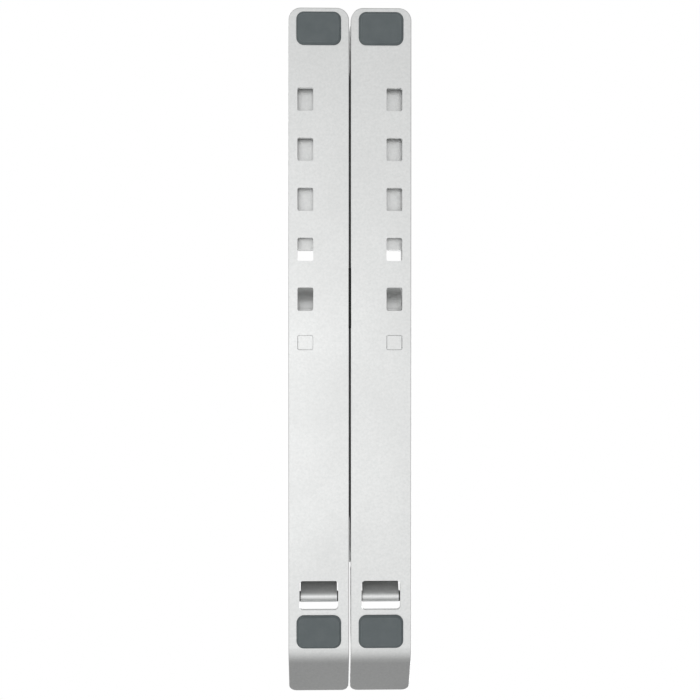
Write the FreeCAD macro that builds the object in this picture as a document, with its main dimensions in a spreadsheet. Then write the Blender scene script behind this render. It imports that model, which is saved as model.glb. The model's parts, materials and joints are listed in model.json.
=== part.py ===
"""Foldable laptop stand: two slotted base bars, two upper arms, their struts and the scissor between them.

Frame: +Z is up, the feet stand on z = 0, +Y is the rear and -Y is the lip that holds the laptop's front
edge. The stand is folded shut, and the scissor's centre rivet is the middle of the width. Each piece of an
arm is made for the right side, at positive x, and mirrored to the left.
"""
import FreeCAD, Part
import math
import os
import re
import Sketcher

# Driving dimensions in millimetres: alias, value, meaning.
SIZES = [
    ("overall_length", 253.3, "lip tip to rear end, folded"),
    ("unit_width", 22.2, "width of one arm"),
    ("unit_gap", 0.6, "space between the two folded base bars"),
    ("arm_gap", 0.2, "space between the two folded upper arms"),
    ("end_radius", 4.6, "rounded rear corners"),
    ("edge_radius", 0.3, "rolled edge along the bars"),
    ("foot_height", 1.2, "silicone feet under the base bar"),
    ("base_plate", 2.2, "thickness of the base bar"),
    ("base_flange", 1.8, "thickness of the base bar's flange and ears"),
    ("base_top", 9.6, "top of the base bar's flange and ears"),
    ("flange_rear", 117.65, "rear end of the flanges"),
    ("ear_rear", -77.85, "rear end of the inner ear"),
    ("ear_front", -106.35, "front end of flange and ear"),
    ("bend_start", -107.85, "where the lip starts to turn up"),
    ("bend_radius", 9.5, "outer radius of the lip's bend"),
    ("lip_angle", 37.0, "slope of the lip in degrees"),
    ("lip_corner", 2.8, "rounded corners of the lip's tip"),
    ("slot_inset", 3.3, "outer edge of the bar to the slots"),
    ("slot_width", 5.8, "width of a height slot"),
    ("slot_length", 8.5, "length of a height slot"),
    ("slot_corner", 0.7, "rounded corners of a slot"),
    ("slot_rear", 93.25, "middle of the rearmost slot"),
    ("slot_pitch", 18.25, "distance between height slots"),
    ("key_slot_place", 4.35, "middle of the short locating slot"),
    ("key_slot_length", 5.5, "length of the short locating slot"),
    ("window_place", -88.4, "middle of the hinge window"),
    ("window_width", 14.2, "width of the hinge window"),
    ("window_length", 10.7, "length of the hinge window"),
    ("window_corner", 1.3, "rounded corners of the hinge window"),
    ("notch_length", 22.0, "relief in the inner edge beside the centre rivet"),
    ("notch_depth", 0.2, "depth of that relief"),
    ("hinge_place", -89.5, "front hinge along the bar"),
    ("hinge_level", 5.6, "front hinge above the table"),
    ("hinge_barrel", 2.1, "outer radius of the front knuckle"),
    ("hinge_width", 13.4, "width of the front knuckle"),
    ("pin_radius", 1.5, "hinge pins"),
    ("running_fit", 0.05, "radial clearance of a hinge pin"),
    ("hinge_bush", 1.95, "outer radius of the front bushes"),
    ("strut_bush", 1.9, "outer radius of the strut's bush"),
    ("side_play", 0.1, "end play of pins and bushes"),
    ("arm_top", 16.4, "top face of the upper arm"),
    ("arm_plate", 2.0, "thickness of the upper arm's top"),
    ("arm_flange", 1.5, "thickness of the upper arm's flanges"),
    ("arm_flange_low", 10.0, "lower edge of the upper arm's flanges"),
    ("arm_rear", 126.15, "rear end of the upper arm"),
    ("web_slope", 45.0, "slope of the web from the front knuckle to the top, in degrees"),
    ("strut_place", 16.4, "strut hinge along the bar"),
    ("strut_level", 12.4, "strut hinge above the table"),
    ("strut_barrel", 3.4, "outer radius of the strut's knuckle"),
    ("strut_plate", 2.2, "thickness of the strut"),
    ("strut_inner", 8.6, "inner edge of the strut from the centre plane"),
    ("strut_outer", 20.6, "outer edge of the strut from the centre plane"),
    ("strut_reach", 103.5, "strut hinge to the tip of its tongue"),
    ("strut_window_start", 4.0, "strut hinge to the near edge of the strut's window"),
    ("strut_window_inner", 0.4, "slot's inner edge to the strut's window"),
    ("strut_window_outer", 0.3, "slot's outer edge to the strut's window"),
    ("strut_window_end", 22.35, "strut hinge to the far edge of the strut's window"),
    ("rib_low", 7.0, "underside of the strut's rib above the table"),
    ("rib_end", 85.0, "strut hinge to the end of the rib"),
    ("rib_round", 3.0, "rounded end of the rib"),
    ("heel_low", 9.1, "underside of the heel above the table"),
    ("heel_radius", 10.9, "radius of the heel's curved underside"),
    ("tongue_length", 11.0, "length of the tongue"),
    ("tongue_width", 5.2, "width of the tongue"),
    ("tongue_corner", 1.2, "rounded corners of the tongue"),
    ("shoulder_length", 3.0, "length of the sloping shoulders beside the tongue"),
    ("relief_front", 12.8, "front edge of the opening over the strut's knuckle"),
    ("relief_rear", 41.15, "rear edge of the opening over the strut's knuckle"),
    ("relief_inner", 8.3, "inner edge of that opening"),
    ("link_width", 9.0, "width of a scissor link"),
    ("link_plate", 1.8, "thickness of a scissor link"),
    ("link_low", 4.5, "underside of the lower link"),
    ("link_step", 2.1, "lower link to upper link"),
    ("pivot_inset", 5.25, "link pivots from the centre plane"),
    ("stud_radius", 1.95, "fixed front pivot of a link"),
    ("rivet_radius", 2.0, "centre rivet, and the links' front bores"),
    ("slider_radius", 1.6, "pin at the rear end of a link"),
    ("hub_place", 20.65, "centre rivet along the bars"),
    ("link_reach", 92.6, "centre rivet to a link pivot, along the bar"),
    ("slide_travel", 69.0, "travel of the link's rear end along its guide"),
    ("head_height", 0.8, "heads of the rivet and the studs"),
    ("head_gap", 0.1, "play under a head"),
    ("stud_head", 3.6, "radius of a stud's head"),
    ("rivet_head", 3.4, "radius of the rivet's head"),
    ("rivet_tail", 2.3, "radius of the rivet's lower head"),
    ("slider_head", 3.0, "radius of the slider pin's head"),
    ("slider_tail", 2.6, "radius of the slider pin's lower head"),
    ("slider_tail_height", 0.5, "height of that lower head"),
    ("slider_head_height", 0.7, "height of the slider pin's head"),
    ("roller_play", 0.3, "guide slot to roller, each side"),
    ("pivot_washer", 4.2, "radius of the washer at a front pivot"),
    ("link_washer", 4.4, "radius of the washer between the links"),
    ("washer_plate", 0.6, "thickness of the centre washer"),
    ("washer_play", 0.2, "notch's ends to the centre washer"),
    ("guide_plate", 1.0, "thickness of the slide guide"),
    ("guide_slot", 5.2, "width of the guide's slot"),
    ("guide_inner", 1.0, "inner edge of the slide guide"),
    ("guide_outer", 11.3, "outer edge of the slide guide"),
    ("guide_rear_end", 8.0, "rear end of the slot's run to the rear end of the guide"),
    ("guide_front_end", 7.0, "front end of the slot's run to the front end of the guide"),
    ("stiffener", 0.8, "thickness of the inner stiffener plate"),
    ("stiffener_inset", 2.0, "inner edge of the bar to the stiffener"),
    ("stiffener_side_gap", 0.6, "stiffener to the outer flange"),
    ("stiffener_front_gap", 0.5, "ear to the stiffener's front end"),
    ("stiffener_rim", 1.2, "short slot to the stiffener's rear end"),
    ("boss_recess", 0.8, "base bar's underside to the stiffener's boss"),
    ("boss_fit", 0.25, "clearance round that boss"),
    ("pad_height", 1.0, "silicone pads under the laptop"),
    ("pad_length", 30.0, "length of a laptop pad"),
    ("pad_margin", 4.0, "side edges of the arm to a laptop pad"),
    ("rear_pad_inset", 8.0, "rear end of the arm to its rear pad"),
    ("front_pad_inset", 4.0, "front end of the arm to its front pad"),
    ("lip_pad_height", 0.8, "thickness of the pad on the lip"),
    ("lip_pad_length", 12.0, "length of that pad down the slope"),
    ("lip_pad_start", 0.6, "end of the bend to that pad"),
    ("lip_pad_margin", 2.4, "side edges of the lip to that pad"),
    ("lip_pad_corner", 2.0, "rounded corners of that pad"),
    ("soft_edge", 0.4, "softened edges of the silicone pieces"),
    ("pad_corner", 4.0, "rounded corners of a laptop pad"),
    ("foot_width", 16.4, "width of a foot"),
    ("foot_length", 12.2, "length of a foot"),
    ("foot_corner", 2.8, "rounded corners of a foot"),
    ("rear_foot_place", 119.05, "middle of the rear foot"),
    ("front_foot_place", -101.65, "middle of the front foot"),
]
ALIASES = {alias for alias, value, meaning in SIZES}
HEIGHT_SLOTS = 5
NEAR = 0.02  # how closely an edge has to match when it is looked up, in millimetres

# Places that several pieces share, as formulas of the driving dimensions.
INNER = "(unit_gap / 2)"
OUTER = "(unit_gap / 2 + unit_width)"
ARM_INNER = "(arm_gap / 2)"
MIDDLE = "(unit_gap / 2 + unit_width / 2)"
BASE_TOP_FACE = "(foot_height + base_plate)"
STIFFENER_TOP = "(foot_height + base_plate + stiffener)"
SLOT_OUTER = "(unit_gap / 2 + unit_width - slot_inset)"
SLOT_INNER = "(unit_gap / 2 + unit_width - slot_inset - slot_width)"
SLOT_MIDDLE = "(unit_gap / 2 + unit_width - slot_inset - slot_width / 2)"
UPPER_LINK_LOW = "(link_low + link_step)"
ARM_UNDERSIDE = "(arm_top - arm_plate)"
FRONT_PIVOT = "(hub_place - link_reach)"
REAR_PIVOT = "(hub_place + link_reach)"
# The web's upper face passes just behind the front hinge's axis and ends at the front of the arm's top.
ARM_FRONT = ("(hinge_place + (arm_top - hinge_level) / tan(web_slope)"
             " + (hinge_barrel - arm_plate) / sin(web_slope))")

doc = FreeCAD.newDocument("laptop_stand")
sheet = doc.addObject("Spreadsheet::Sheet", "Sizes")
for row, (alias, value, meaning) in enumerate(SIZES, start=1):
    sheet.set(f"A{row}", meaning)
    sheet.set(f"B{row}", str(value))
    sheet.setAlias(f"B{row}", alias)
doc.recompute()

nodes = []


def size(alias):
    """One driving dimension as a plain number, read from the sheet."""
    return float(sheet.get(alias))


def in_sheet(formula):
    """The formula with each alias pointing at the sheet."""
    def in_its_place(word):
        return "Sizes." + word.group() if word.group() in ALIASES else word.group()

    return re.sub(r"[a-z_]+", in_its_place, formula)


def bind(thing, setting, formula):
    thing.setExpression(setting, in_sheet(formula))


def node(thing, label):
    """Marks a finished sub-part: its label is its file's name."""
    thing.Label = label
    nodes.append(thing)
    return thing


# ---------------------------------------------------------------- sketches and features

def new_body(label):
    return node(doc.addObject("PartDesign::Body", label + "_body"), label)


def new_sketch(body, name, plane, offset=None):
    """A sketch on one of the body's own origin planes, moved off it by the offset."""
    sketch = body.newObject("Sketcher::SketchObject", name)
    support = [feature for feature in body.Origin.OriginFeatures if feature.Role == plane]
    sketch.AttachmentSupport = [(support[0], "")]
    sketch.MapMode = "FlatFace"
    if offset:
        bind(sketch, "AttachmentOffset.Base.z", offset)
    return sketch


def outline(body, name, plane, corners, offset=None):
    """A closed sketch of straight lines whose corners are given as pairs of formulas."""
    sketch = new_sketch(body, name, plane, offset)
    count = len(corners)
    ring = []
    for step in range(count):
        turn = 2 * math.pi * step / count
        ring.append(FreeCAD.Vector(math.cos(turn), math.sin(turn), 0))
    for step in range(count):
        sketch.addGeometry(Part.LineSegment(ring[step], ring[(step + 1) % count]))
    for step in range(count):
        sketch.addConstraint(Sketcher.Constraint("Coincident", step, 2, (step + 1) % count, 1))
    for step, corner in enumerate(corners):
        for kind, formula in zip(("DistanceX", "DistanceY"), corner):
            index = sketch.addConstraint(Sketcher.Constraint(kind, -1, 1, step, 1, 1.0))
            bind(sketch, f"Constraints[{index}]", formula)
    return sketch


def rectangle(body, name, plane, left, right, low, high, offset=None):
    corners = [(left, low), (right, low), (right, high), (left, high)]
    return outline(body, name, plane, corners, offset)


def circle(body, name, plane, across, along, radius, offset=None):
    sketch = new_sketch(body, name, plane, offset)
    sketch.addGeometry(Part.Circle(FreeCAD.Vector(1, 1, 0), FreeCAD.Vector(0, 0, 1), 1.0))
    places = (("DistanceX", across), ("DistanceY", along))
    for kind, formula in places:
        index = sketch.addConstraint(Sketcher.Constraint(kind, -1, 1, 0, 3, 1.0))
        bind(sketch, f"Constraints[{index}]", formula)
    index = sketch.addConstraint(Sketcher.Constraint("Radius", 0, 1.0))
    bind(sketch, f"Constraints[{index}]", radius)
    return sketch


def pad(body, sketch, length):
    feature = body.newObject("PartDesign::Pad", sketch.Name + "_pad")
    feature.Profile = sketch
    bind(feature, "Length", length)
    body.Tip = feature
    return feature


def cut_through(body, sketch):
    """A pocket that goes right through the body, both ways from its sketch. It has to remove something."""
    doc.recompute()
    before = body.Shape.Volume
    feature = body.newObject("PartDesign::Pocket", sketch.Name + "_cut")
    feature.Profile = sketch
    feature.Type = "ThroughAll"
    feature.SideType = "Symmetric"
    body.Tip = feature
    doc.recompute()
    if feature.Shape.Volume > before - 1e-3:
        raise RuntimeError(f"{feature.Name} cut nothing")
    return feature


def edge_is(edge, **wanted):
    """True for an edge whose box has the given middle (x, y, z) and extents (dx, dy, dz)."""
    box = edge.BoundBox
    found = {
        "x": box.Center.x, "y": box.Center.y, "z": box.Center.z,
        "dx": box.XLength, "dy": box.YLength, "dz": box.ZLength,
    }
    return all(abs(found[key] - value) < NEAR for key, value in wanted.items())


def fillet(body, name, radius, chosen):
    doc.recompute()
    base = body.Tip
    edges = [f"Edge{number}" for number, edge in enumerate(base.Shape.Edges, start=1) if chosen(edge)]
    if not edges:
        raise RuntimeError(f"{name} found no edge")
    feature = body.newObject("PartDesign::Fillet", name)
    feature.Base = (base, edges)
    bind(feature, "Radius", radius)
    body.Tip = feature
    doc.recompute()
    return feature


def turned(name, axis, steps, **place):
    """A round piece of stacked cylinders. Each step is radius, start and end along the axis."""
    turns = {"x": FreeCAD.Rotation(FreeCAD.Vector(0, 1, 0), 90), "z": FreeCAD.Rotation()}
    cylinders = []
    for number, (radius, start, end) in enumerate(steps):
        cylinder = doc.addObject("Part::Cylinder", f"{name}_step{number}")
        cylinder.Placement = FreeCAD.Placement(FreeCAD.Vector(), turns[axis])
        bind(cylinder, "Radius", radius)
        bind(cylinder, "Height", f"({end}) - ({start})")
        bind(cylinder, f"Placement.Base.{axis}", start)
        for letter, formula in place.items():
            bind(cylinder, f"Placement.Base.{letter}", formula)
        cylinders.append(cylinder)
    if len(cylinders) == 1:
        return cylinders[0]
    fused = doc.addObject("Part::MultiFuse", name + "_fused")
    fused.Shapes = cylinders
    return fused


def tube(name, axis, outer, inner, start, end, **place):
    ring = doc.addObject("Part::Cut", name + "_ring")
    ring.Base = turned(name + "_outer", axis, [(outer, start, end)], **place)
    ring.Tool = turned(name + "_inner", axis, [(inner, start, end)], **place)
    return ring


def mirrored(source):
    """The left-hand twin of a right-hand piece."""
    label = source.Label.replace("_right", "_left")
    twin = doc.addObject("Part::Mirroring", label + "_mirror")
    twin.Source = source
    twin.Normal = (1, 0, 0)
    return node(twin, label)


def block(label, left, right, front, rear, low, height, corner, edge_at):
    """A soft block with rounded corners, its edge softened at the level edge_at."""
    body = new_body(label)
    pad(body, rectangle(body, label + "_outline", "XY_Plane", left, right, front, rear, low), height)
    doc.recompute()
    tall = body.Shape.BoundBox.ZLength
    fillet(body, label + "_corners", corner, lambda e: edge_is(e, dx=0, dy=0, dz=tall))
    level = body.Shape.BoundBox.ZMin if edge_at == "low" else body.Shape.BoundBox.ZMax
    fillet(body, label + "_edge", "soft_edge", lambda e: edge_is(e, z=level, dz=0))
    return body


# ---------------------------------------------------------------- base bar

def lip_profile(body):
    """Side view of the base bar: flat from the rear, then bent up into the lip at the front."""
    angle = math.radians(size("lip_angle"))
    thick = size("base_plate")
    low = size("foot_height")
    outer_radius = size("bend_radius")
    centre = FreeCAD.Vector(size("bend_start"), low + outer_radius, 0)
    tip_y = -size("overall_length") / 2 - size("edge_radius") * (math.cos(angle) + math.sin(angle) - 1)
    rear_y = size("overall_length") / 2

    def on_bend(radius):
        return centre + FreeCAD.Vector(-radius * math.sin(angle), -radius * math.cos(angle), 0)

    outer_end = on_bend(outer_radius)
    inner_end = on_bend(outer_radius - thick)
    rise = (outer_end.x - tip_y) * math.tan(angle)
    tip_low = FreeCAD.Vector(tip_y, outer_end.y + rise, 0)
    tip_high = tip_low + FreeCAD.Vector(thick * math.sin(angle), thick * math.cos(angle), 0)
    corners = {
        "rear_low": FreeCAD.Vector(rear_y, low, 0),
        "rear_high": FreeCAD.Vector(rear_y, low + thick, 0),
        "bend_low": FreeCAD.Vector(centre.x, low, 0),
        "bend_high": FreeCAD.Vector(centre.x, low + thick, 0),
    }
    up = FreeCAD.Vector(0, 0, 1)
    bend_from = math.radians(270) - angle
    bend_to = math.radians(270)
    sketch = new_sketch(body, "base_profile", "YZ_Plane", INNER)
    sketch.addGeometry(Part.LineSegment(corners["rear_low"], corners["bend_low"]))
    sketch.addGeometry(Part.ArcOfCircle(Part.Circle(centre, up, outer_radius), bend_from, bend_to))
    sketch.addGeometry(Part.LineSegment(outer_end, tip_low))
    sketch.addGeometry(Part.LineSegment(tip_low, tip_high))
    sketch.addGeometry(Part.LineSegment(tip_high, inner_end))
    sketch.addGeometry(Part.ArcOfCircle(Part.Circle(centre, up, outer_radius - thick), bend_from, bend_to))
    sketch.addGeometry(Part.LineSegment(corners["bend_high"], corners["rear_high"]))
    sketch.addGeometry(Part.LineSegment(corners["rear_high"], corners["rear_low"]))
    joins = [
        ("Tangent", 0, 2, 1, 2), ("Tangent", 1, 1, 2, 1), ("Coincident", 2, 2, 3, 1),
        ("Coincident", 3, 2, 4, 1), ("Tangent", 4, 2, 5, 1), ("Tangent", 5, 2, 6, 1),
        ("Coincident", 6, 2, 7, 1), ("Coincident", 7, 2, 0, 1), ("Coincident", 1, 3, 5, 3),
        ("Horizontal", 0), ("Vertical", 7), ("Perpendicular", 2, 3), ("Parallel", 2, 4),
    ]
    for join in joins:
        sketch.addConstraint(Sketcher.Constraint(*join))
    driven = [
        (("DistanceX", -1, 1, 0, 1, rear_y), "overall_length / 2"),
        (("DistanceY", -1, 1, 0, 1, low), "foot_height"),
        (("DistanceX", -1, 1, 0, 2, centre.x), "bend_start"),
        (("DistanceX", -1, 1, 2, 2, tip_y),
         "-overall_length / 2 - edge_radius * (cos(lip_angle) + sin(lip_angle) - 1)"),
        (("DistanceY", 7, 2, 7, 1, thick), "base_plate"),
        (("Radius", 1, outer_radius), "bend_radius"),
        (("Angle", 4, -angle), "-lip_angle * 1 deg"),
    ]
    for description, formula in driven:
        index = sketch.addConstraint(Sketcher.Constraint(*description))
        bind(sketch, f"Constraints[{index}]", formula)
    return sketch


def base_arm():
    """The bent base bar: plate and lip, outer flange, inner ear, slots, hinge window and pin holes."""
    body = new_body("base_arm_right")
    pad(body, lip_profile(body), "unit_width")
    half_length = size("overall_length") / 2
    doc.recompute()
    fillet(body, "rear_corners", "end_radius", lambda e: edge_is(e, y=half_length, dx=0, dy=0))
    tip_low = body.Shape.BoundBox.ZMax - size("base_plate") * math.cos(math.radians(size("lip_angle"))) / 2
    plate = size("base_plate")
    fillet(body, "lip_corners", "lip_corner",
           lambda e: edge_is(e, z=tip_low, dx=0) and abs(e.Length - plate) < NEAR)
    low_level = size("foot_height")
    fillet(body, "rolled_edge", "edge_radius", lambda e: edge_is(e, z=low_level, dz=0, dx=0))

    # Flange and ear reach a little way down into the plate. Their ends lean inwards.
    flange_low = f"{BASE_TOP_FACE} - base_plate / 4"
    slope = "(base_top - foot_height - base_plate)"
    flange = outline(body, "outer_flange", "YZ_Plane", [
        ("ear_front", flange_low),
        ("flange_rear", flange_low),
        (f"flange_rear - {slope} / 2", "base_top"),
        (f"ear_front + {slope} / 2", "base_top"),
    ], f"{OUTER} - base_flange")
    pad(body, flange, "base_flange")
    ear = outline(body, "inner_ear", "YZ_Plane", [
        ("ear_front", flange_low),
        ("ear_rear", flange_low),
        (f"ear_rear - {slope} / 3", "base_top"),
        (f"ear_front + {slope} / 2", "base_top"),
    ], INNER)
    pad(body, ear, "base_flange")

    slot = rectangle(body, "first_slot", "XY_Plane", SLOT_INNER, SLOT_OUTER,
                     "slot_rear - slot_length / 2", "slot_rear + slot_length / 2")
    first = cut_through(body, slot)
    pattern = body.newObject("PartDesign::LinearPattern", "slot_row")
    pattern.Originals = [first]
    pattern.Direction = (slot, ["V_Axis"])
    pattern.Reversed = True
    pattern.Occurrences = HEIGHT_SLOTS
    bind(pattern, "Length", f"slot_pitch * {HEIGHT_SLOTS - 1}")
    body.Tip = pattern
    cut_through(body, rectangle(body, "key_slot", "XY_Plane", SLOT_INNER, SLOT_OUTER,
                                "key_slot_place - key_slot_length / 2", "key_slot_place + key_slot_length / 2"))
    slot_sides = (size("slot_length") / 2, size("key_slot_length") / 2)
    slot_line = size("unit_gap") / 2 + size("unit_width") - size("slot_inset")

    def slot_corner(edge):
        in_line = edge_is(edge, x=slot_line) or edge_is(edge, x=slot_line - size("slot_width"))
        return in_line and edge_is(edge, dx=0, dy=0, dz=size("base_plate"))

    fillet(body, "slot_corners", "slot_corner", slot_corner)
    cut_through(body, rectangle(body, "hinge_window", "XY_Plane",
                                f"{MIDDLE} - window_width / 2", f"{MIDDLE} + window_width / 2",
                                "window_place - window_length / 2", "window_place + window_length / 2"))
    middle = (size("unit_gap") + size("unit_width")) / 2

    def window_corner(edge):
        side = abs(abs(edge.BoundBox.Center.x - middle) - size("window_width") / 2)
        return side < NEAR and edge_is(edge, dx=0, dy=0, dz=size("base_plate"))

    fillet(body, "window_corners", "window_corner", window_corner)
    cut_through(body, rectangle(body, "centre_notch", "XY_Plane", "unit_gap / 4", f"{INNER} + notch_depth",
                                "hub_place - notch_length / 2", "hub_place + notch_length / 2"))
    cut_through(body, circle(body, "pin_holes", "YZ_Plane", "hinge_place", "hinge_level", "pin_radius"))
    return body


# ---------------------------------------------------------------- upper arm and strut

def upper_arm():
    """Channel that carries the laptop. Its front is bent down into the knuckle of the front hinge."""
    body = new_body("upper_arm_right")
    plate = rectangle(body, "arm_plate_outline", "XY_Plane", ARM_INNER, OUTER, ARM_FRONT, "arm_rear",
                      ARM_UNDERSIDE)
    pad(body, plate, "arm_plate")
    rear = size("arm_rear")
    fillet(body, "arm_rear_corners", "end_radius", lambda e: edge_is(e, y=rear, dx=0, dy=0))
    top = size("arm_top")
    fillet(body, "arm_rolled_edge", "edge_radius",
           lambda e: edge_is(e, z=top, dz=0) and e.BoundBox.YLength > NEAR)
    drop = "(arm_top - arm_plate - arm_flange_low)"
    for side, start in (("inner", ARM_INNER), ("outer", f"{OUTER} - arm_flange")):
        flange = outline(body, f"arm_{side}_flange", "YZ_Plane", [
            (f"{ARM_FRONT} + arm_plate", "arm_flange_low"),
            (f"flange_rear - {drop}", "arm_flange_low"),
            ("flange_rear", f"{ARM_UNDERSIDE} + arm_plate / 4"),
            (f"{ARM_FRONT} + arm_plate", f"{ARM_UNDERSIDE} + arm_plate / 4"),
        ], start)
        pad(body, flange, "arm_flange")
    knuckle_start = f"{MIDDLE} - hinge_width / 2"
    web_back = (f"(hinge_place + ({ARM_UNDERSIDE} - hinge_level) / tan(web_slope)"
                " + hinge_barrel / sin(web_slope))")
    web = outline(body, "knuckle_web", "YZ_Plane", [
        ("hinge_place + hinge_barrel * sin(web_slope)", "hinge_level - hinge_barrel * cos(web_slope)"),
        (web_back, ARM_UNDERSIDE),
        (web_back, "arm_top - edge_radius"),
        (ARM_FRONT, "arm_top"),
        ("hinge_place + (hinge_barrel - arm_plate) * sin(web_slope)",
         "hinge_level - (hinge_barrel - arm_plate) * cos(web_slope)"),
    ], knuckle_start)
    pad(body, web, "hinge_width")
    barrel = circle(body, "knuckle_barrel", "YZ_Plane", "hinge_place", "hinge_level", "hinge_barrel",
                    knuckle_start)
    pad(body, barrel, "hinge_width")
    cut_through(body, circle(body, "knuckle_bore", "YZ_Plane", "hinge_place", "hinge_level",
                             "pin_radius + running_fit"))
    cut_through(body, circle(body, "strut_pin_holes", "YZ_Plane", "strut_place", "strut_level", "pin_radius"))
    cut_through(body, rectangle(body, "strut_relief", "XY_Plane", "relief_inner", f"{OUTER} - arm_flange",
                                "relief_front", "relief_rear"))
    return body


def heel_profile(body, offset):
    """Side view of the strut's heel: its underside curves up from below the knuckle to the strut's top face."""
    place = size("strut_place")
    radius = size("heel_radius")
    wall = (size("pin_radius") + size("strut_barrel")) / 2
    top = size("strut_level") + size("strut_plate") / 2
    centre = FreeCAD.Vector(place, size("heel_low") + radius, 0)
    spread = math.acos((centre.y - top) / radius)
    back = FreeCAD.Vector(place + radius * math.sin(spread), top, 0)
    corners = [
        back,
        FreeCAD.Vector(place + wall, top, 0),
        FreeCAD.Vector(place + wall, size("strut_level") - wall, 0),
        FreeCAD.Vector(place, size("strut_level") - wall, 0),
        FreeCAD.Vector(place, size("heel_low"), 0),
    ]
    down = math.radians(270)
    sketch = new_sketch(body, "strut_heel", "YZ_Plane", offset)
    circle_of_heel = Part.Circle(centre, FreeCAD.Vector(0, 0, 1), radius)
    sketch.addGeometry(Part.ArcOfCircle(circle_of_heel, down, down + spread))
    for start, end in zip(corners, corners[1:]):
        sketch.addGeometry(Part.LineSegment(start, end))
    joins = [
        ("Coincident", 0, 2, 1, 1), ("Coincident", 1, 2, 2, 1), ("Coincident", 2, 2, 3, 1),
        ("Coincident", 3, 2, 4, 1), ("Coincident", 4, 2, 0, 1),
        ("Horizontal", 1), ("Vertical", 2), ("Horizontal", 3), ("Vertical", 4),
    ]
    for join in joins:
        sketch.addConstraint(Sketcher.Constraint(*join))
    wall_formula = "(pin_radius + strut_barrel) / 2"
    driven = [
        (("DistanceX", -1, 1, 0, 3, centre.x), "strut_place"),
        (("DistanceY", -1, 1, 0, 3, centre.y), "heel_low + heel_radius"),
        (("Radius", 0, radius), "heel_radius"),
        (("DistanceX", -1, 1, 4, 1, place), "strut_place"),
        (("DistanceY", -1, 1, 1, 1, top), "strut_level + strut_plate / 2"),
        (("DistanceX", -1, 1, 2, 1, place + wall), f"strut_place + {wall_formula}"),
        (("DistanceY", -1, 1, 3, 1, size("strut_level") - wall), f"strut_level - {wall_formula}"),
    ]
    for description, formula in driven:
        index = sketch.addConstraint(Sketcher.Constraint(*description))
        bind(sketch, f"Constraints[{index}]", formula)
    return sketch


def strut():
    """Ribbed prop with a knuckle and heel at its hinge, a window and a tongue that drops into a slot."""
    body = new_body("strut_right")
    shoulder = "(strut_place + strut_reach - tongue_length)"
    tip = "(strut_place + strut_reach)"
    tongue_inner = f"({SLOT_MIDDLE} - tongue_width / 2)"
    tongue_outer = f"({SLOT_MIDDLE} + tongue_width / 2)"
    plate = outline(body, "strut_outline", "XY_Plane", [
        ("strut_inner", "strut_place"),
        ("strut_outer", "strut_place"),
        ("strut_outer", f"{shoulder} - shoulder_length"),
        (tongue_outer, shoulder),
        (tongue_outer, tip),
        (tongue_inner, tip),
        (tongue_inner, shoulder),
        ("strut_inner", f"{shoulder} - shoulder_length"),
    ], "strut_level - strut_plate / 2")
    pad(body, plate, "strut_plate")
    tip_place = size("strut_place") + size("strut_reach")
    fillet(body, "tongue_corners", "tongue_corner", lambda e: edge_is(e, y=tip_place, dx=0, dy=0))
    window_inner = f"({SLOT_INNER} - strut_window_inner)"
    window_outer = f"({SLOT_OUTER} + strut_window_outer)"
    cut_through(body, rectangle(body, "strut_window", "XY_Plane", window_inner, window_outer,
                                "strut_place + strut_window_start", "strut_place + strut_window_end"))
    rib = rectangle(body, "strut_rib", "XY_Plane", window_inner, window_outer,
                    "strut_place + strut_window_end", "strut_place + rib_end", "rib_low")
    pad(body, rib, "strut_level + strut_plate / 2 - rib_low")
    rib_back = size("strut_place") + size("rib_end")
    under_rib = size("rib_low")
    fillet(body, "rib_end_round", "rib_round", lambda e: edge_is(e, y=rib_back, z=under_rib, dy=0, dz=0))
    pad(body, circle(body, "strut_knuckle", "YZ_Plane", "strut_place", "strut_level", "strut_barrel",
                     "strut_inner"), "strut_outer - strut_inner")
    cut_through(body, circle(body, "strut_bore", "YZ_Plane", "strut_place", "strut_level",
                             "pin_radius + running_fit"))
    heel = heel_profile(body, f"{window_inner} + side_play")
    pad(body, heel, f"{window_outer} - {window_inner} - 2 * side_play")
    return body


# ---------------------------------------------------------------- inner plates and pads

def stiffener_plate():
    """Inner plate along the front half, with a boss that locates it in the short slot."""
    body = new_body("stiffener_plate_right")
    key_front = "(key_slot_place - key_slot_length / 2)"
    key_rear = "(key_slot_place + key_slot_length / 2)"
    plate = rectangle(body, "stiffener_outline", "XY_Plane", f"{INNER} + stiffener_inset",
                      f"{OUTER} - base_flange - stiffener_side_gap", "ear_rear + stiffener_front_gap",
                      f"{key_rear} + stiffener_rim", BASE_TOP_FACE)
    pad(body, plate, "stiffener")
    boss = rectangle(body, "stiffener_boss", "XY_Plane", f"{SLOT_INNER} + boss_fit", f"{SLOT_OUTER} - boss_fit",
                     f"{key_front} + boss_fit", f"{key_rear} - boss_fit", "foot_height + boss_recess")
    pad(body, boss, f"{STIFFENER_TOP} - foot_height - boss_recess")
    cut_through(body, circle(body, "stud_hole", "XY_Plane", "pivot_inset", FRONT_PIVOT, "stud_radius"))
    return body


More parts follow.
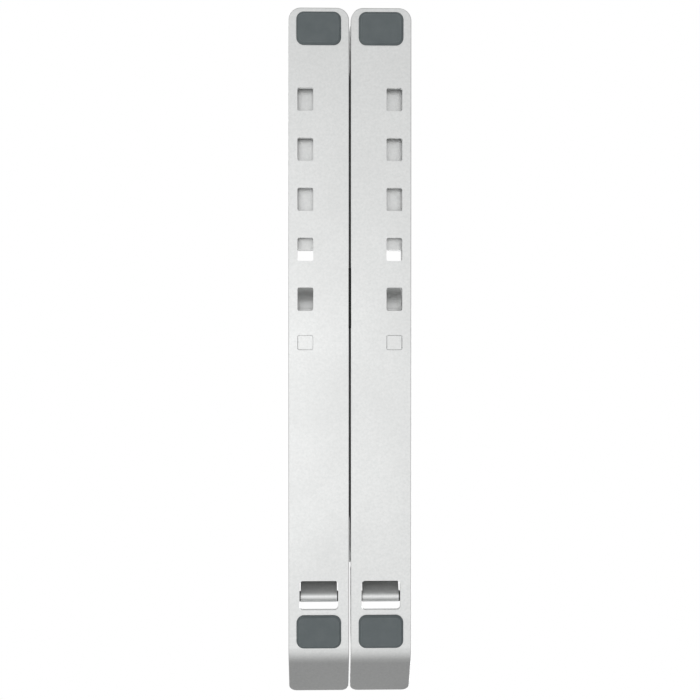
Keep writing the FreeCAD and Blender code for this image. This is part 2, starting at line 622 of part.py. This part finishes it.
def slide_guide():
    """Angle rail with a long slot that the link's roller runs in."""
    body = new_body("slide_guide_right")
    rear = f"({REAR_PIVOT} + guide_rear_end)"
    front = f"({REAR_PIVOT} - slide_travel - guide_front_end)"
    profile = outline(body, "guide_profile", "XZ_Plane", [
        ("guide_inner", "base_top - guide_plate"),
        ("guide_outer - guide_plate", "base_top - guide_plate"),
        ("guide_outer - guide_plate", BASE_TOP_FACE),
        ("guide_outer", BASE_TOP_FACE),
        ("guide_outer", "base_top"),
        ("guide_inner", "base_top"),
    ], f"-{rear}")
    pad(body, profile, f"{rear} - {front}")
    half = "guide_slot / 2"
    cut_through(body, rectangle(body, "guide_slot_run", "XY_Plane", f"pivot_inset - {half}",
                                f"pivot_inset + {half}", f"{REAR_PIVOT} - slide_travel", REAR_PIVOT))
    for end, place in (("front", f"{REAR_PIVOT} - slide_travel"), ("rear", REAR_PIVOT)):
        cut_through(body, circle(body, f"guide_slot_{end}", "XY_Plane", "pivot_inset", place, half))
    return body


def lip_pad():
    """Silicone pad on the inner face of the lip, modelled flat and then laid on the slope."""
    body = new_body("lip_pad_right")
    pad(body, rectangle(body, "lip_pad_outline", "XY_Plane", f"{INNER} + lip_pad_margin",
                        f"{OUTER} - lip_pad_margin", "-lip_pad_start - lip_pad_length", "-lip_pad_start"),
        "lip_pad_height")
    thick = size("lip_pad_height")
    fillet(body, "lip_pad_corners", "lip_pad_corner", lambda e: edge_is(e, dx=0, dy=0, dz=thick))
    tilt = FreeCAD.Rotation(FreeCAD.Vector(-1, 0, 0), size("lip_angle"))
    body.Placement = FreeCAD.Placement(FreeCAD.Vector(), tilt)
    bend_inner = "(bend_radius - base_plate)"
    bind(body, "Placement.Rotation.Angle", "lip_angle * 1 deg")
    bind(body, "Placement.Base.y", f"bend_start - {bend_inner} * sin(lip_angle)")
    bind(body, "Placement.Base.z", f"foot_height + bend_radius - {bend_inner} * cos(lip_angle)")
    return body


def soft_pads():
    """Feet under the base bar and pads on top of the upper arm."""
    made = []
    feet = (("rear_foot_right", "rear_foot_place"), ("front_foot_right", "front_foot_place"))
    for label, place in feet:
        made.append(block(label, f"{MIDDLE} - foot_width / 2", f"{MIDDLE} + foot_width / 2",
                          f"{place} - foot_length / 2", f"{place} + foot_length / 2",
                          "0", "foot_height", "foot_corner", "low"))
    rests = (
        ("rear_pad_right", "(arm_rear - rear_pad_inset - pad_length)"),
        ("front_pad_right", f"({ARM_FRONT} + front_pad_inset)"),
    )
    for label, front in rests:
        made.append(block(label, f"{INNER} + pad_margin", f"{OUTER} - pad_margin", front, f"{front} + pad_length",
                          "arm_top", "pad_height", "pad_corner", "high"))
    return made


# ---------------------------------------------------------------- scissor

def cross_link(label, low, side):
    """One flat link. It is drawn along Y about the centre rivet, then turned to its folded angle."""
    body = new_body(label)
    half = "link_width / 2"
    reach = "sqrt(link_reach * link_reach + pivot_inset * pivot_inset)"
    pad(body, rectangle(body, label + "_bar", "XY_Plane", f"-{half}", half, f"-{reach}", reach, low), "link_plate")
    for end, sign in (("front", "-"), ("rear", "")):
        round_end = new_sketch(body, f"{label}_{end}_end", "XY_Plane", low)
        round_end.addGeometry(Part.Circle(FreeCAD.Vector(0, 1, 0), FreeCAD.Vector(0, 0, 1), 1.0))
        round_end.addConstraint(Sketcher.Constraint("PointOnObject", 0, 3, -2))
        place = round_end.addConstraint(Sketcher.Constraint("DistanceY", -1, 1, 0, 3, 1.0))
        bind(round_end, f"Constraints[{place}]", f"{sign}{reach}")
        radius = round_end.addConstraint(Sketcher.Constraint("Radius", 0, 1.0))
        bind(round_end, f"Constraints[{radius}]", half)
        pad(body, round_end, "link_plate")
    bores = new_sketch(body, label + "_bores", "XY_Plane")
    holes = (("-" + reach, "rivet_radius"), (reach, "slider_radius"))
    for number, (place, hole) in enumerate(holes):
        bores.addGeometry(Part.Circle(FreeCAD.Vector(0, 1, 0), FreeCAD.Vector(0, 0, 1), 1.0))
        bores.addConstraint(Sketcher.Constraint("PointOnObject", number, 3, -2))
        index = bores.addConstraint(Sketcher.Constraint("DistanceY", -1, 1, number, 3, 1.0))
        bind(bores, f"Constraints[{index}]", place)
        index = bores.addConstraint(Sketcher.Constraint("Radius", number, 1.0))
        bind(bores, f"Constraints[{index}]", hole)
    bores.addGeometry(Part.Circle(FreeCAD.Vector(0, 0, 0), FreeCAD.Vector(0, 0, 1), 2.0))
    bores.addConstraint(Sketcher.Constraint("Coincident", 2, 3, -1, 1))
    index = bores.addConstraint(Sketcher.Constraint("Radius", 2, 2.0))
    bind(bores, f"Constraints[{index}]", "rivet_radius + running_fit")
    cut_through(body, bores)
    axis = FreeCAD.Vector(0, 0, side)
    body.Placement = FreeCAD.Placement(FreeCAD.Vector(), FreeCAD.Rotation(axis, 3))
    bind(body, "Placement.Rotation.Angle", "atan(pivot_inset / link_reach)")
    bind(body, "Placement.Base.y", "hub_place")
    return body


def scissor_pivots(side, front_low, rear_low):
    """Fixed stud and its washer at the front, pin and roller at the rear, for one side's links."""
    sign = "-" if side == "left" else ""
    across = f"{sign}pivot_inset"
    front_top = f"({front_low} + link_plate)"
    under_head = f"({front_top} + head_gap)"
    node(turned(f"stud_{side}", "z", [
        ("stud_radius", BASE_TOP_FACE, under_head),
        ("stud_head", under_head, f"{under_head} + head_height"),
    ], x=across, y=FRONT_PIVOT), f"pivot_stud_{side}")
    node(tube(f"washer_{side}", "z", "pivot_washer", "stud_radius", STIFFENER_TOP, front_low,
              x=across, y=FRONT_PIVOT), f"pivot_washer_{side}")
    # The roller is a little longer than the guide is thick, and the pin's head sits just above it.
    roller_low = "(base_top - guide_plate - head_gap)"
    roller_top = "(base_top + head_gap)"
    slider_top = f"({roller_top} + head_gap)"
    node(turned(f"slider_{side}", "z", [
        ("slider_tail", f"{rear_low} - slider_tail_height", rear_low),
        ("slider_radius", rear_low, slider_top),
        ("slider_head", slider_top, f"{slider_top} + slider_head_height"),
    ], x=across, y=REAR_PIVOT), f"slider_pin_{side}")
    node(tube(f"roller_{side}", "z", "guide_slot / 2 - roller_play", "slider_radius + running_fit",
              roller_low, roller_top, x=across, y=REAR_PIVOT), f"slider_roller_{side}")


def centre_pieces():
    """Rivet through both links, the black washer under them and the thin one between them."""
    middle = {"x": "0", "y": "hub_place"}
    lower_top = "(link_low + link_plate)"
    upper_top = f"({UPPER_LINK_LOW} + link_plate)"
    washer_low = "(link_low - washer_plate)"
    node(turned("rivet", "z", [
        ("rivet_tail", f"{BASE_TOP_FACE} + head_gap", washer_low),
        ("rivet_radius", washer_low, upper_top),
        ("rivet_head", upper_top, f"{upper_top} + head_height"),
    ], **middle), "centre_rivet")
    node(tube("centre", "z", "notch_length / 2 - washer_play", "rivet_radius", washer_low, "link_low", **middle),
         "centre_washer")
    node(tube("between", "z", "link_washer", "rivet_radius", lower_top, UPPER_LINK_LOW, **middle), "link_washer")


# ---------------------------------------------------------------- hinge pins and bushes

def hinge_pins():
    """Pins and bushes that run across the arm, at the front hinge and at the strut's hinge."""
    front = {"y": "hinge_place", "z": "hinge_level"}
    prop = {"y": "strut_place", "z": "strut_level"}
    pins = []
    pin_steps = [("pin_radius", f"{INNER} + side_play", f"{OUTER} - side_play")]
    pins.append(node(turned("front_pin", "x", pin_steps, **front), "front_hinge_pin_right"))
    bushes = doc.addObject("Part::Compound", "front_bushes")
    sides = (
        (f"{INNER} + base_flange", f"{MIDDLE} - hinge_width / 2 - side_play / 2"),
        (f"{MIDDLE} + hinge_width / 2 + side_play / 2", f"{OUTER} - base_flange"),
    )
    bushes.Links = [tube(f"front_bush{number}", "x", "hinge_bush", "pin_radius", start, end, **front)
                    for number, (start, end) in enumerate(sides)]
    pins.append(node(bushes, "hinge_spacers_right"))
    pins.append(node(turned("strut_pin", "x", pin_steps, **prop), "strut_pivot_pin_right"))
    pins.append(node(tube("strut_bush_ring", "x", "strut_bush", "pin_radius", f"{ARM_INNER} + arm_flange",
                          "strut_inner - side_play", **prop), "strut_spacer_right"))
    return pins


right_pieces = [base_arm(), upper_arm(), strut(), stiffener_plate(), slide_guide(), lip_pad()]
right_pieces += soft_pads()
right_pieces += hinge_pins()
doc.recompute()
for piece in right_pieces:
    mirrored(piece)

cross_link("cross_link_lower", "link_low", -1)
cross_link("cross_link_upper", UPPER_LINK_LOW, 1)
scissor_pivots("left", "link_low", UPPER_LINK_LOW)
scissor_pivots("right", UPPER_LINK_LOW, "link_low")
centre_pieces()
doc.recompute()

# ---------------------------------------------------------------- checks and files
for thing in doc.Objects:
    if "Invalid" in thing.State or "Error" in thing.State:
        raise RuntimeError(f"{thing.Name} failed: {thing.State}")
os.makedirs("parts", exist_ok=True)
for piece in nodes:
    shape = piece.Shape
    if shape.isNull() or not shape.isValid():
        raise RuntimeError(f"{piece.Label} has no valid shape")
    shape.exportStep(f"parts/{piece.Label}.step")
    box = shape.BoundBox
    print(f"{piece.Label:24s} solids {len(shape.Solids)}  volume {shape.Volume:9.1f}"
          f"  x {box.XMin:7.2f} {box.XMax:7.2f}  y {box.YMin:8.2f} {box.YMax:8.2f}"
          f"  z {box.ZMin:6.2f} {box.ZMax:6.2f}")
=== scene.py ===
import bmesh
import bpy
import json
import math
from mathutils import Matrix, Vector


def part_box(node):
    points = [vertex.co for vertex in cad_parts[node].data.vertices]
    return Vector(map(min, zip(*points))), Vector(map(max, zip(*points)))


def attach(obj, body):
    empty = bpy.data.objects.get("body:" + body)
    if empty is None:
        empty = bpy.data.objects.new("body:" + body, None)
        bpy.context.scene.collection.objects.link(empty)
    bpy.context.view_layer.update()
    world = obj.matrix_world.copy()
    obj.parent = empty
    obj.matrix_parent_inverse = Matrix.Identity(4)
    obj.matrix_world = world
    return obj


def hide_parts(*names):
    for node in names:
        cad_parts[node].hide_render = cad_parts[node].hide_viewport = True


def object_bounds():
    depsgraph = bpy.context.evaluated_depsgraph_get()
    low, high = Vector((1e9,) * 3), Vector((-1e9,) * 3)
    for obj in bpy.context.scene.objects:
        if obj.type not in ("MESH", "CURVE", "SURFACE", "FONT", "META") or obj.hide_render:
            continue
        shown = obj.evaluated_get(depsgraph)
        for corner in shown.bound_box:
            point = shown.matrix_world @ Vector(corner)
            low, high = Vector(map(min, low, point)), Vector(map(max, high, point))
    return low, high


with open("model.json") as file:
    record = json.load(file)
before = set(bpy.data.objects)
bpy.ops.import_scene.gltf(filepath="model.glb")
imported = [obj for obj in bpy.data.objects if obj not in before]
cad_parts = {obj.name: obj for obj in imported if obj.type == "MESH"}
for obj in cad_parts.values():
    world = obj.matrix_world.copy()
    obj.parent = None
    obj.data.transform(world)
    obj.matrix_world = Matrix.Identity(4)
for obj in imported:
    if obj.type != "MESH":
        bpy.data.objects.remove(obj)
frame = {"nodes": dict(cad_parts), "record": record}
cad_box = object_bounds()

MM = 0.001
SIDES = ("left", "right")
FINE_GRAIN = 0.02 * MM    # height of the finest grain in a surface
COARSE_GRAIN = 0.03 * MM

low, high = cad_box
middle = (low + high) / 2


# ---------------------------------------------------------------- node helpers

BEVEL_SAMPLES = 4
# The colour sockets of a Mix node, by number because its other kinds of socket have the same names.
FIRST_COLOUR = 6
SECOND_COLOUR = 7
MIXED_COLOUR = 2


class Shader:
    """A new material with short calls for the nodes that every material here uses."""

    def __init__(self, name):
        self.material = bpy.data.materials.new(name)
        self.material.use_nodes = True
        self.tree = self.material.node_tree
        self.surface = self.tree.nodes["Principled BSDF"]
        self.place = self.tree.nodes.new("ShaderNodeTexCoord").outputs["Object"]

    def link(self, source, target):
        self.tree.links.new(source, target)

    def noise(self, scale, detail=2.0, roughness=0.5, place=None):
        node = self.tree.nodes.new("ShaderNodeTexNoise")
        node.inputs["Scale"].default_value = scale
        node.inputs["Detail"].default_value = detail
        node.inputs["Roughness"].default_value = roughness
        self.link(place or self.place, node.inputs["Vector"])
        return node.outputs["Fac"]

    def stretched(self, factors):
        node = self.tree.nodes.new("ShaderNodeMapping")
        node.inputs["Scale"].default_value = factors
        self.link(self.place, node.inputs["Vector"])
        return node.outputs["Vector"]

    def remap(self, value, from_low, from_high, to_low, to_high):
        node = self.tree.nodes.new("ShaderNodeMapRange")
        limits = (("From Min", from_low), ("From Max", from_high), ("To Min", to_low), ("To Max", to_high))
        for name, number in limits:
            node.inputs[name].default_value = number
        self.link(value, node.inputs["Value"])
        return node.outputs["Result"]

    def spread(self, noise, to_low, to_high):
        """Noise mostly lies between 0.3 and 0.7. This stretches that part over the given range."""
        return self.remap(noise, 0.3, 0.7, to_low, to_high)

    def math(self, operation, first, second):
        node = self.tree.nodes.new("ShaderNodeMath")
        node.operation = operation
        for socket, value in zip(node.inputs, (first, second)):
            if isinstance(value, (int, float)):
                socket.default_value = value
            else:
                self.link(value, socket)
        return node.outputs["Value"]

    def mix(self, share, first, second):
        """Colour that goes from first to second as share goes from 0 to 1."""
        node = self.tree.nodes.new("ShaderNodeMix")
        node.data_type = "RGBA"
        self.link(share, node.inputs["Factor"])
        for socket, value in ((node.inputs[FIRST_COLOUR], first), (node.inputs[SECOND_COLOUR], second)):
            if isinstance(value, tuple):
                socket.default_value = (*value, 1.0)
            else:
                self.link(value, socket)
        return node.outputs[MIXED_COLOUR]

    def edges(self, radius):
        """About 1 on edges sharper than the radius and 0 on flat faces."""
        bevel = self.tree.nodes.new("ShaderNodeBevel")
        bevel.samples = BEVEL_SAMPLES
        bevel.inputs["Radius"].default_value = radius
        geometry = self.tree.nodes.new("ShaderNodeNewGeometry")
        dot = self.tree.nodes.new("ShaderNodeVectorMath")
        dot.operation = "DOT_PRODUCT"
        self.link(bevel.outputs["Normal"], dot.inputs[0])
        self.link(geometry.outputs["Normal"], dot.inputs[1])
        return self.remap(dot.outputs["Value"], 0.995, 0.80, 0.0, 1.0)

    def bump(self, height, distance, strength, below=None):
        node = self.tree.nodes.new("ShaderNodeBump")
        node.inputs["Distance"].default_value = distance
        node.inputs["Strength"].default_value = strength
        self.link(height, node.inputs["Height"])
        if below:
            self.link(below, node.inputs["Normal"])
        return node.outputs["Normal"]

    def finish(self, colour, roughness, normal):
        self.link(colour, self.surface.inputs["Base Color"])
        self.link(roughness, self.surface.inputs["Roughness"])
        self.link(normal, self.surface.inputs["Normal"])
        return self.material


# ---------------------------------------------------------------- materials

def blasted_aluminium():
    """Bead-blasted, clear-anodised sheet: fine sparkle, faint cloudiness, and a patchy painted highlight
    that makes its edges brighter.
    """
    shader = Shader("blasted_aluminium")
    shader.surface.inputs["Metallic"].default_value = 0.88
    grain = shader.noise(2600, 2.0, 0.6)
    speckle = shader.noise(1100, 3.0, 0.65)
    cloud = shader.noise(26, 3.0, 0.5)
    patchy = shader.remap(shader.noise(240), 0.35, 0.7, 0.2, 1.0)
    # Painted highlight: a patchy mask over the edges, which the colour below paints brighter.
    patchy_edge_highlight = shader.math("MULTIPLY", shader.edges(0.3 * MM), patchy)
    spots = shader.spread(speckle, 0.0, 1.0)
    sparkle = shader.mix(spots, (0.845, 0.855, 0.85), (0.945, 0.95, 0.945))
    clouded = shader.mix(shader.spread(cloud, 0.0, 0.35), sparkle, (0.86, 0.865, 0.86))
    # Painted highlight: in patches, the edges go towards near white.
    colour = shader.mix(shader.math("MULTIPLY", patchy_edge_highlight, 0.6), clouded, (0.97, 0.97, 0.97))
    uneven = shader.spread(cloud, -0.03, 0.03)
    rough = shader.math("ADD", shader.spread(grain, 0.34, 0.44), uneven)
    rough = shader.math("SUBTRACT", rough, shader.math("MULTIPLY", patchy_edge_highlight, 0.10))
    pits = shader.bump(grain, FINE_GRAIN, 0.35)
    normal = shader.bump(speckle, COARSE_GRAIN, 0.25, pits)
    return shader.finish(colour, rough, normal)


def slate_silicone():
    """Matte moulded silicone with a fine grain, dust in its pores and a patchy painted sheen that makes its
    rims paler.
    """
    shader = Shader("slate_silicone")
    shader.surface.inputs["Specular IOR Level"].default_value = 0.35
    grain = shader.noise(3200, 2.0, 0.6)
    mottled = shader.noise(180, 4.0, 0.6)
    base = shader.mix(shader.spread(mottled, 0.0, 1.0), (0.168, 0.196, 0.204), (0.196, 0.224, 0.232))
    # Painted sheen: the rims are painted paler, in patches.
    patchy_rim_sheen = shader.math("MULTIPLY", shader.edges(0.5 * MM), shader.remap(mottled, 0.3, 0.65, 0.25, 0.8))
    colour = shader.mix(patchy_rim_sheen, base, (0.36, 0.40, 0.41))
    rough = shader.spread(grain, 0.52, 0.68)
    return shader.finish(colour, rough, shader.bump(grain, FINE_GRAIN, 0.3))


def black_nylon():
    """Moulded nylon, almost black, with a soft satin grain."""
    shader = Shader("black_nylon")
    grain = shader.noise(1800, 3.0, 0.6)
    colour = shader.mix(shader.spread(grain, 0.0, 1.0), (0.012, 0.012, 0.013), (0.024, 0.024, 0.026))
    rough = shader.spread(grain, 0.42, 0.6)
    return shader.finish(colour, rough, shader.bump(grain, FINE_GRAIN, 0.25))


def turned_steel():
    """Plated steel pins and rivets with fine turning marks."""
    shader = Shader("turned_steel")
    shader.surface.inputs["Metallic"].default_value = 1.0
    marks = shader.noise(500, 3.0, 0.6, shader.stretched((1.0, 1.0, 12.0)))
    film = shader.noise(300, 2.0, 0.5)
    colour = shader.mix(shader.spread(film, 0.0, 1.0), (0.52, 0.52, 0.53), (0.66, 0.66, 0.67))
    rough = shader.spread(marks, 0.22, 0.36)
    return shader.finish(colour, rough, shader.bump(marks, FINE_GRAIN, 0.25))


def blackened_steel():
    """Chemically blackened links and rivet: dark, satin, with a little bare metal showing through. The dark
    colour is partly painted shade, which keeps the narrow gap between the bars dark.
    """
    shader = Shader("blackened_steel")
    shader.surface.inputs["Metallic"].default_value = 0.6
    marks = shader.noise(700, 3.0, 0.6)
    # Partly painted shade: near black, so the gap between the bars shows dark.
    colour = shader.mix(shader.remap(marks, 0.4, 0.75, 0.0, 1.0), (0.014, 0.014, 0.015), (0.05, 0.05, 0.052))
    rough = shader.spread(marks, 0.35, 0.5)
    return shader.finish(colour, rough, shader.bump(marks, FINE_GRAIN, 0.25))


materials = {
    "aluminium": blasted_aluminium(),
    "grey_silicone": slate_silicone(),
    "black_nylon": black_nylon(),
    "steel": turned_steel(),
    "blackened_steel": blackened_steel(),
}
for part in frame["record"]["subparts"]:
    node = frame["nodes"][part["node"]]
    for slot in node.material_slots:
        slot.material = materials[part["material_slot"]]


# ---------------------------------------------------------------- moulded silicone

CORNER_STEPS = 8
EDGE_STEPS = 5
LEAST_CORNER = 0.2 * MM
SHARP_ANGLE = math.radians(38)
FOOT_CORNER = 2.8 * MM
FOOT_SKIRT = 0.95 * MM
PAD_CORNER = 4.0 * MM
PAD_RIBS = 11
PAD_BASE = 0.62           # share of a pad's height below its ribs
PAD_EDGE = 0.3 * MM
RIB_EDGE = 0.25 * MM
RIB_MARGIN = 2.0 * MM
RIB_SHARE = 0.58          # share of the ribs' pitch that is rib
RIB_CORNER = 0.45         # share of a rib's width that its corners round off
LIP_PAD_CORNER = 2.0 * MM
LIP_PAD_RIBS = 5


def ring(width, length, corner, inset):
    """Points round a rectangle with rounded corners, pulled in from its outline by the inset."""
    half_x = width / 2 - inset
    half_y = length / 2 - inset
    radius = max(corner - inset, LEAST_CORNER)
    points = []
    for quarter, (sign_x, sign_y) in enumerate(((1, 1), (-1, 1), (-1, -1), (1, -1))):
        for step in range(CORNER_STEPS + 1):
            turn = math.radians(90) * (quarter + step / CORNER_STEPS)
            points.append((
                sign_x * (half_x - radius) + radius * math.cos(turn),
                sign_y * (half_y - radius) + radius * math.sin(turn),
            ))
    return points


def add_moulding(mesh, centre, width, length, corner, profile):
    """A closed moulded block. The profile goes from its foot to its top as pairs of inset and height."""
    loops = []
    for inset, level in profile:
        points = ring(width, length, corner, inset)
        loops.append([mesh.verts.new((centre[0] + x, centre[1] + y, level)) for x, y in points])
    count = len(loops[0])
    for lower, upper in zip(loops, loops[1:]):
        for step in range(count):
            following = (step + 1) % count
            mesh.faces.new((lower[step], lower[following], upper[following], upper[step]))
    mesh.faces.new(list(reversed(loops[0])))
    mesh.faces.new(loops[-1])


def moulded_piece(name, body, replaced, blocks, place):
    """One silicone piece of one or more blocks, laid in place by a matrix, standing for a CAD node."""
    mesh = bmesh.new()
    for block in blocks:
        add_moulding(mesh, *block)
    bmesh.ops.transform(mesh, matrix=place, verts=mesh.verts)
    bmesh.ops.recalc_face_normals(mesh, faces=mesh.faces)
    data = bpy.data.meshes.new(name)
    mesh.to_mesh(data)
    mesh.free()
    for polygon in data.polygons:
        polygon.use_smooth = True
    data.set_sharp_from_angle(angle=SHARP_ANGLE)
    piece = bpy.data.objects.new(name, data)
    bpy.context.scene.collection.objects.link(piece)
    data.materials.append(materials["grey_silicone"])
    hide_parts(replaced)
    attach(piece, body)
    return piece


def rounded_profile(height, edge):
    """Profile of a block whose top edge is rounded by a quarter circle."""
    profile = [(0.0, 0.0)]
    for step in range(EDGE_STEPS + 1):
        turn = math.radians(90) * step / EDGE_STEPS
        profile.append((edge * (1 - math.cos(turn)), height - edge + edge * math.sin(turn)))
    return profile


def foot(name, body):
    """Foot that narrows from the base bar down to a flat sole, with a fine groove round the sole's rim."""
    first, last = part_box(name)
    size = last - first
    centre = (first + last) / 2
    height = size.z
    groove_level = 0.95 * height
    # From the base bar down: the tapered skirt, the sole's rim, its groove and the sole.
    profile = [
        (0.12 * MM, 0.0),
        (0.0, 0.12 * height),
        (0.05 * MM, 0.30 * height),
        (0.45 * FOOT_SKIRT, 0.66 * height),
        (0.90 * FOOT_SKIRT, 0.93 * height),
        (FOOT_SKIRT, height),
        (FOOT_SKIRT + 0.30 * MM, height),
        (FOOT_SKIRT + 0.42 * MM, groove_level),
        (FOOT_SKIRT + 0.60 * MM, groove_level),
        (FOOT_SKIRT + 1.10 * MM, height),
        (FOOT_SKIRT + 2.20 * MM, height),
    ]
    place = Matrix.Translation((centre.x, centre.y, last.z)) @ Matrix.Rotation(math.pi, 4, "X")
    block = ((0.0, 0.0), size.x, size.y, FOOT_CORNER, profile)
    return moulded_piece(name + "_moulded", body, name, [block], place)


def ribbed_pad(name, body, width, length, height, corner, ribs, place):
    """Pad with raised ribs across it, so that a laptop doesn't slide. The ribs start halfway up its base."""
    base_height = height * PAD_BASE
    rib_foot = base_height * 0.5
    rounded = rounded_profile(height - rib_foot, RIB_EDGE)
    rib_profile = [(inset, rib_foot + level) for inset, level in rounded]
    rib_length = width - 2 * RIB_MARGIN
    pitch = (length - 2 * RIB_MARGIN) / ribs
    rib_width = pitch * RIB_SHARE
    blocks = [((0.0, 0.0), width, length, corner, rounded_profile(base_height, PAD_EDGE))]
    for number in range(ribs):
        along = -length / 2 + RIB_MARGIN + pitch * (number + 0.5)
        blocks.append(((0.0, along), rib_length, rib_width, rib_width * RIB_CORNER, rib_profile))
    return moulded_piece(name + "_moulded", body, name, blocks, place)


for side in SIDES:
    for end in ("rear", "front"):
        foot(f"{end}_foot_{side}", f"base_{side}")
        first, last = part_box(f"{end}_pad_{side}")
        size = last - first
        centre = (first + last) / 2
        place = Matrix.Translation((centre.x, centre.y, first.z))
        ribbed_pad(f"{end}_pad_{side}", f"arm_{side}", size.x, size.y, size.z, PAD_CORNER, PAD_RIBS, place)

# The lip pads lie on a slope, so their flat length comes from their box and the lip's angle.
SLOPE = math.radians(37)
LIP_PAD_THICKNESS = 0.8 * MM
for side in SIDES:
    first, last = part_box(f"lip_pad_{side}")
    size = last - first
    centre = (first + last) / 2
    length = (size.y - LIP_PAD_THICKNESS * math.sin(SLOPE)) / math.cos(SLOPE)
    underside = centre - Vector((0, math.sin(SLOPE), math.cos(SLOPE))) * LIP_PAD_THICKNESS / 2
    place = Matrix.Translation(underside) @ Matrix.Rotation(-SLOPE, 4, "X")
    ribbed_pad(f"lip_pad_{side}", f"base_{side}", size.x, length, LIP_PAD_THICKNESS, LIP_PAD_CORNER,
               LIP_PAD_RIBS, place)


# ---------------------------------------------------------------- floor

FLOOR_REACH = 3.0         # half the floor's width, in metres
FADE_FROM = 0.35
FADE_TO = 1.1
FLOOR_GAP = 0.02 * MM     # the feet's soles stay clear of the floor by this much


def floor():
    """Pale floor that fades into the white studio. It is clear from below, so the stand also shows there."""
    mesh = bmesh.new()
    bmesh.ops.create_grid(mesh, x_segments=1, y_segments=1, size=FLOOR_REACH)
    data = bpy.data.meshes.new("floor")
    mesh.to_mesh(data)
    mesh.free()
    thing = bpy.data.objects.new("floor", data)
    thing.location.z = low.z - FLOOR_GAP
    bpy.context.scene.collection.objects.link(thing)
    shader = Shader("pale_floor")
    grain = shader.noise(60, 4.0, 0.6)
    colour = shader.mix(grain, (0.80, 0.80, 0.795), (0.84, 0.84, 0.835))
    shader.link(colour, shader.surface.inputs["Base Color"])
    shader.surface.inputs["Roughness"].default_value = 0.7
    nodes = shader.tree.nodes
    clear = nodes.new("ShaderNodeBsdfTransparent")
    back = nodes.new("ShaderNodeNewGeometry").outputs["Backfacing"]
    seen = nodes.new("ShaderNodeLightPath").outputs["Is Camera Ray"]
    away = nodes.new("ShaderNodeVectorMath")
    away.operation = "LENGTH"
    shader.link(shader.place, away.inputs[0])
    faded = shader.remap(away.outputs["Value"], FADE_FROM, FADE_TO, 1.0, 0.0)
    above = shader.math("MULTIPLY", faded, shader.math("SUBTRACT", 1.0, back))
    solid = shader.math("MULTIPLY", seen, above)
    choice = nodes.new("ShaderNodeMixShader")
    shader.link(solid, choice.inputs["Fac"])
    shader.link(clear.outputs["BSDF"], choice.inputs[1])
    shader.link(shader.surface.outputs["BSDF"], choice.inputs[2])
    shader.link(choice.outputs["Shader"], nodes["Material Output"].inputs["Surface"])
    data.materials.append(shader.material)


floor()


# ---------------------------------------------------------------- light and camera

# Where the world's light is brightest, and its level from the opposite direction (0) to there (1).
BRIGHTEST = (0.14, -0.10, -1.0)
LIGHT_LEVELS = (
    (0.0, 0.50), (0.25, 0.42), (0.42, 0.30), (0.52, 0.18),
    (0.66, 0.24), (0.85, 0.52), (0.97, 0.83), (1.0, 0.90),
)
TINT = (1.0, 1.004, 1.002)


def studio_world():
    """White where the camera sees it. For light: bright below, less so above, dark round the horizon."""
    world = bpy.data.worlds.new("studio")
    bpy.context.scene.world = world
    world.use_nodes = True
    tree = world.node_tree
    background = tree.nodes["Background"]
    direction = tree.nodes.new("ShaderNodeTexCoord").outputs["Generated"]
    aim = tree.nodes.new("ShaderNodeVectorMath")
    aim.operation = "DOT_PRODUCT"
    aim.inputs[1].default_value = Vector(BRIGHTEST).normalized()
    tree.links.new(direction, aim.inputs[0])
    share = tree.nodes.new("ShaderNodeMapRange")
    share.inputs["From Min"].default_value = -1.0
    share.inputs["From Max"].default_value = 1.0
    tree.links.new(aim.outputs["Value"], share.inputs["Value"])
    ramp = tree.nodes.new("ShaderNodeValToRGB")
    while len(ramp.color_ramp.elements) < len(LIGHT_LEVELS):
        ramp.color_ramp.elements.new(0.5)
    for element, (position, level) in zip(ramp.color_ramp.elements, LIGHT_LEVELS):
        element.position = position
        element.color = (*(level * tint for tint in TINT), 1.0)
    tree.links.new(share.outputs["Result"], ramp.inputs["Fac"])
    choice = tree.nodes.new("ShaderNodeMix")
    choice.data_type = "RGBA"
    choice.inputs[SECOND_COLOUR].default_value = (1.0, 1.0, 1.0, 1.0)
    tree.links.new(tree.nodes.new("ShaderNodeLightPath").outputs["Is Camera Ray"], choice.inputs["Factor"])
    tree.links.new(ramp.outputs["Color"], choice.inputs[FIRST_COLOUR])
    tree.links.new(choice.outputs[MIXED_COLOUR], background.inputs["Color"])


def soft_light(name, place, size, power):
    """A square light aimed at the middle of the stand: its place and size in metres, its power in watts."""
    data = bpy.data.lights.new(name, "AREA")
    data.size = size
    data.energy = power
    light = bpy.data.objects.new(name, data)
    light.location = place
    light.rotation_mode = "QUATERNION"
    light.rotation_quaternion = (Vector(place) - middle).to_track_quat("Z", "Y")
    light.visible_camera = False
    bpy.context.scene.collection.objects.link(light)


studio_world()
soft_light("key_above", (-0.45, -0.35, 0.70), 0.80, 4.6)
soft_light("fill_above", (0.50, 0.40, 0.55), 0.60, 2.5)
soft_light("key_below", (0.15, -0.04, -0.60), 0.30, 0.19)

# The camera is below the stand, a little to the right and rear of its middle, with the rear end up.
DISTANCE = 430 * MM
SEEN_WIDTH = 255.5 * MM
SIDE_STEP = 10.8 * MM
REAR_STEP = 3.6 * MM
PICTURE_MIDDLE = 1.65 * MM
SENSOR_WIDTH = 36.0       # in millimetres, as the camera takes it
camera_data = bpy.data.cameras.new("camera")
camera_data.sensor_width = SENSOR_WIDTH
camera_data.lens = SENSOR_WIDTH / SEEN_WIDTH * DISTANCE
camera = bpy.data.objects.new("camera", camera_data)
bpy.context.scene.collection.objects.link(camera)
camera.location = (SIDE_STEP, PICTURE_MIDDLE + REAR_STEP, low.z - DISTANCE)
target = Vector((0.0, PICTURE_MIDDLE, low.z))
back = (camera.location - target).normalized()
across = Vector((0, 1, 0)).cross(back).normalized()
upward = back.cross(across)
camera.rotation_mode = "QUATERNION"
camera.rotation_quaternion = Matrix((across, upward, back)).transposed().to_quaternion()
bpy.context.scene.camera = camera
bpy.context.scene.view_settings.view_transform = "Standard"
